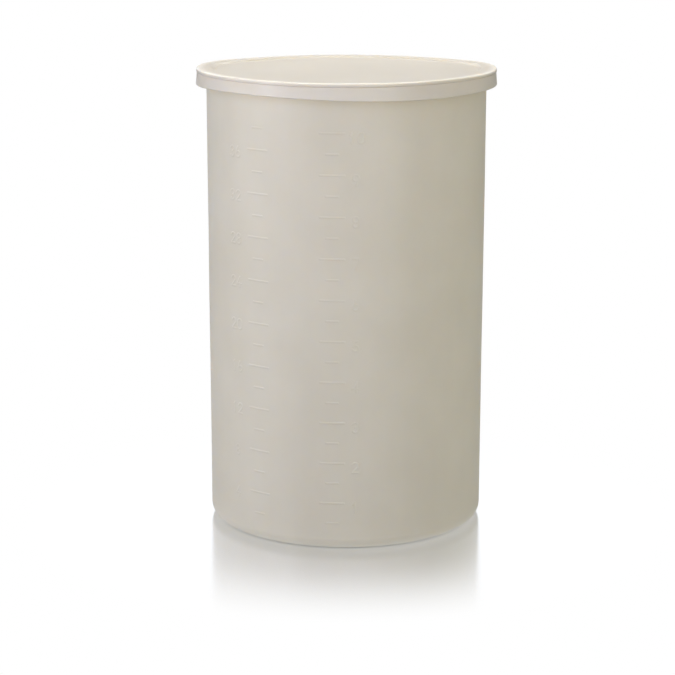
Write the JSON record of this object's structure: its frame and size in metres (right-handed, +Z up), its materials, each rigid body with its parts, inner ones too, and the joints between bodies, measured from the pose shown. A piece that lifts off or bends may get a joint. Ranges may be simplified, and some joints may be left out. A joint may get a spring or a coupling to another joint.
{
  "type": "fermenting bucket",
  "caption": "Tall straight-sided round tub of milky plastic with raised volume marks, closed by a flat slip-on lid with a slightly sunk panel, a beaded edge and a short skirt.",
  "frame": {"origin": "centre of the base, on the surface that the tub stands on", "axes": "+Z up along the tub's axis; -Y is the front, where the volume marks are; +X is to the right seen from the front"},
  "size_m": [0.3526, 0.3526, 0.5404],
  "materials": {
    "natural_polyethylene": "satin, milky and slightly translucent"
  },
  "bodies": {
    "tub": {"tub": "natural_polyethylene"},
    "lid": {"lid": "natural_polyethylene"}
  },
  "joints": [
    {"name": "lid_lift", "type": "slide", "parent": "tub", "child": "lid", "axis": [0, 0, 1], "range_m": [0, 0.2]}
  ]
}
